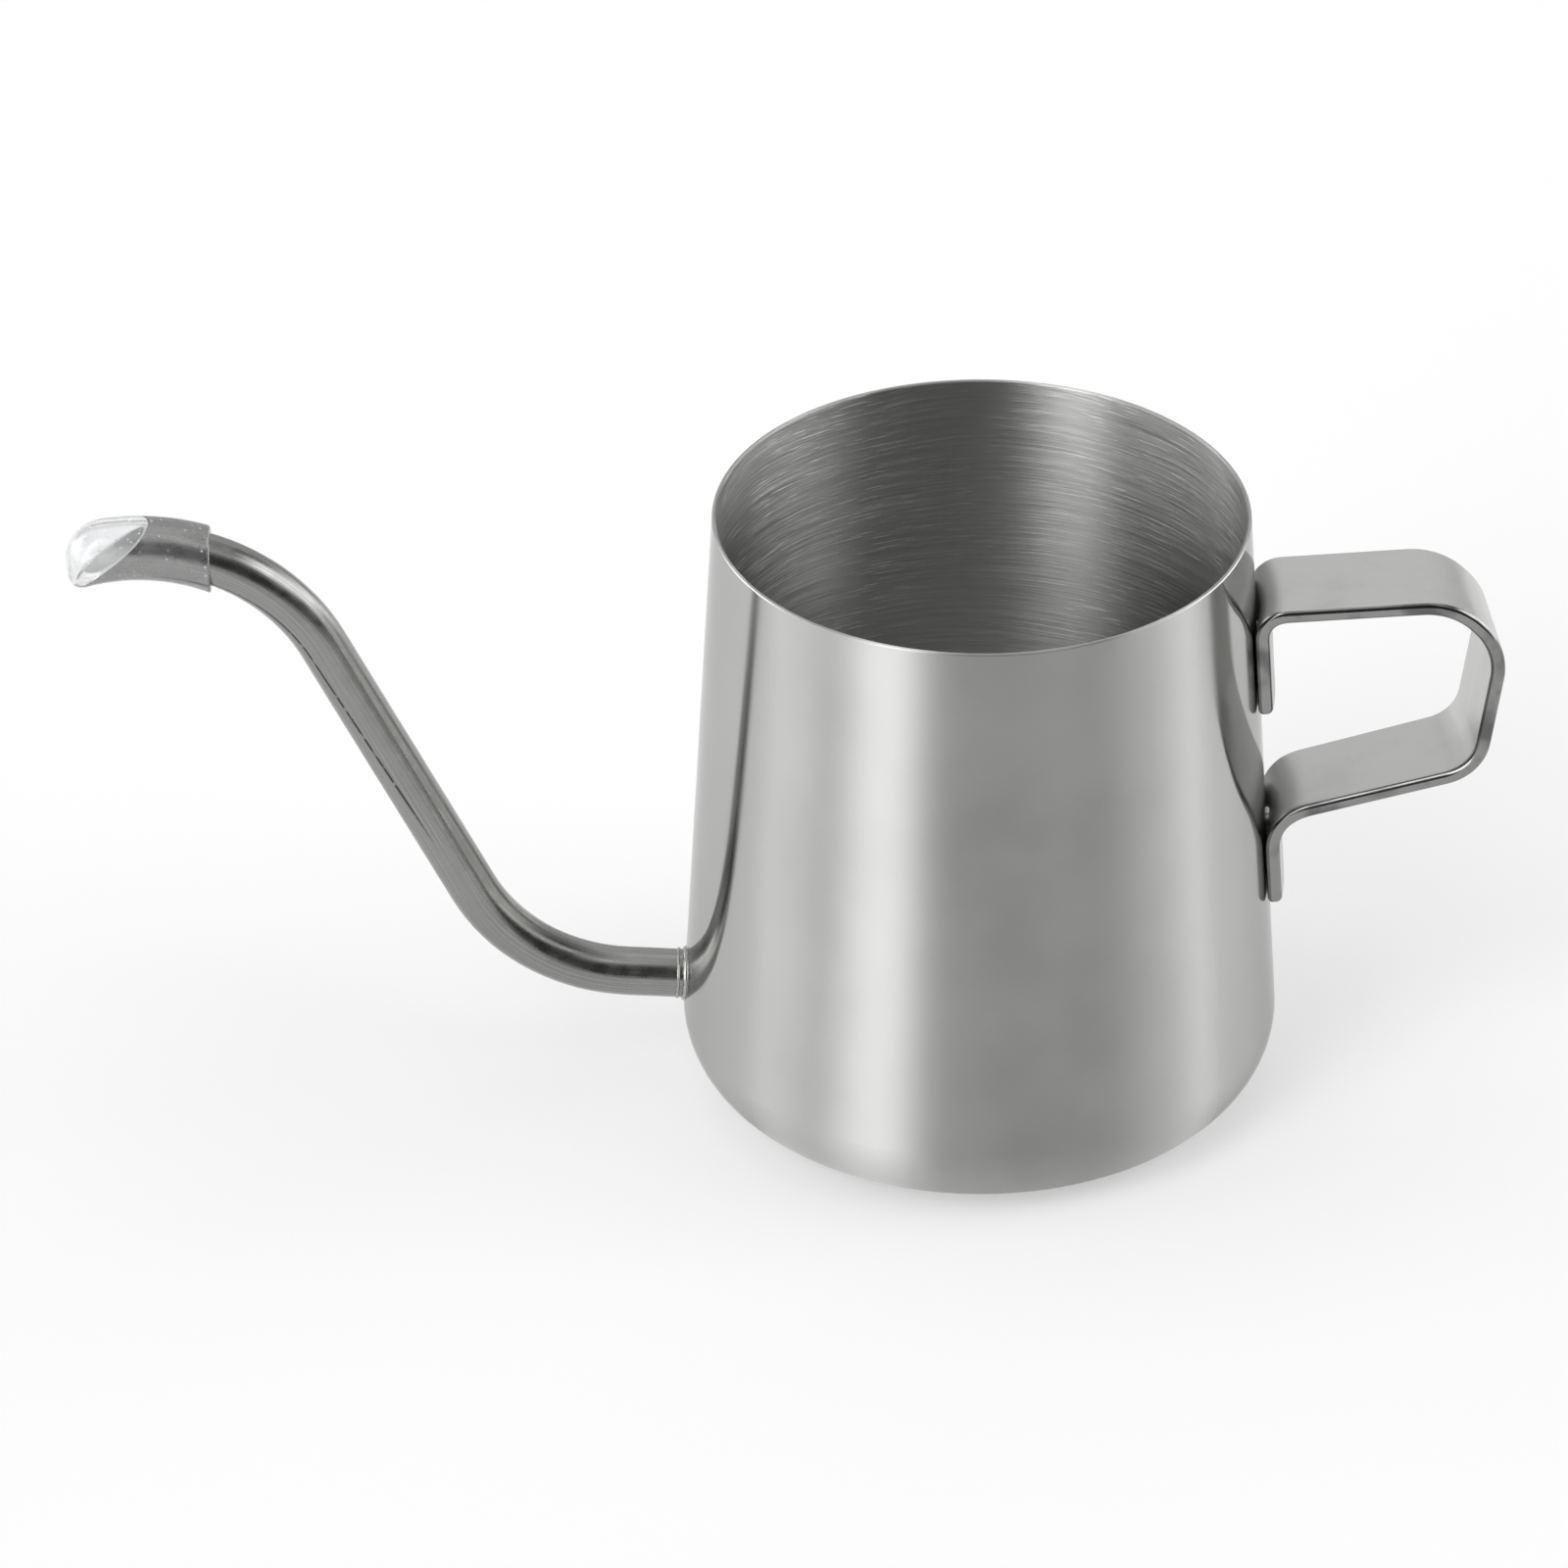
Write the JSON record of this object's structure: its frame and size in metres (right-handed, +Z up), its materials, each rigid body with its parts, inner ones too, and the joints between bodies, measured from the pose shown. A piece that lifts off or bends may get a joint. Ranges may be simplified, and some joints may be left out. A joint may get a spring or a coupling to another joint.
{
  "type": "gooseneck drip kettle",
  "caption": "Open-top pour-over pot of polished steel with a thin gooseneck spout, a bent strap handle and a clear cap on the spout's tip.",
  "frame": {"origin": "on the pot's axis, in the plane of its base", "axes": "+Z up along the pot's axis, -X towards the spout, +X towards the handle, both in the plane Y = 0"},
  "size_m": [0.1869, 0.0792, 0.0846],
  "materials": {
    "pot_steel": "stainless sheet, polished outside, brushed round the inside",
    "spout_steel": "stainless tube, polished with fine lines along its length",
    "weld_steel": "bare stainless weld metal, rippled and lightly polished",
    "handle_steel": "satin stainless strip with polished round edges",
    "clear_vinyl": "clear soft vinyl, glossy and slightly hazy"
  },
  "bodies": {
    "kettle": {"pot_body": "pot_steel", "spout_tube": "spout_steel", "spout_weld_bead": "weld_steel", "handle_strap": "handle_steel", "handle_upper_spot_welds": "weld_steel", "handle_lower_spot_welds": "weld_steel"},
    "tip_cap": {"spout_tip_cap": "clear_vinyl"}
  },
  "joints": [
    {"name": "cap_pull", "type": "hinge", "parent": "kettle", "child": "tip_cap", "pos_m": [-0.10972, 0, 0.05406], "axis": [0, -1, 0], "range_deg": [0, 48]}
  ]
}
